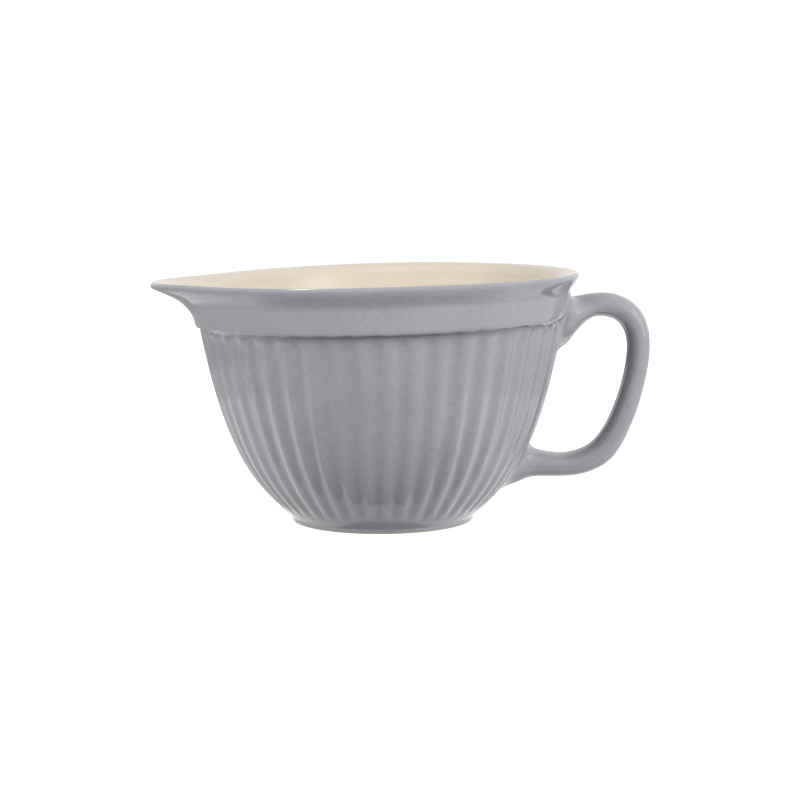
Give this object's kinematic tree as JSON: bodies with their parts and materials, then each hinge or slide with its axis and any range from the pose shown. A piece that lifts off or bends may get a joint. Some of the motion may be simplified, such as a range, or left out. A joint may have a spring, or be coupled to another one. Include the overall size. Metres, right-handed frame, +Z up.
{
  "type": "batter bowl",
  "caption": "Stoneware batter bowl with a fluted wall under a plain collar, a drawn pouring spout and a loop handle, grey glazed outside and cream inside.",
  "frame": {"origin": "on the bowl's axis, in the plane of the foot ring that the bowl stands on", "axes": "+Z up out of the bowl, +X towards the handle, -X towards the spout"},
  "size_m": [0.2796, 0.2198, 0.1393],
  "materials": {
    "grey_glaze": "glossy grey glaze on stoneware",
    "cream_glaze": "glossy cream glaze",
    "bare_stoneware": "bare fired clay, matt"
  },
  "bodies": {
    "root": {"bowl_body": "grey_glaze", "handle": "grey_glaze", "foot_ring": "bare_stoneware", "inner_glaze": "cream_glaze"}
  },
  "joints": []
}
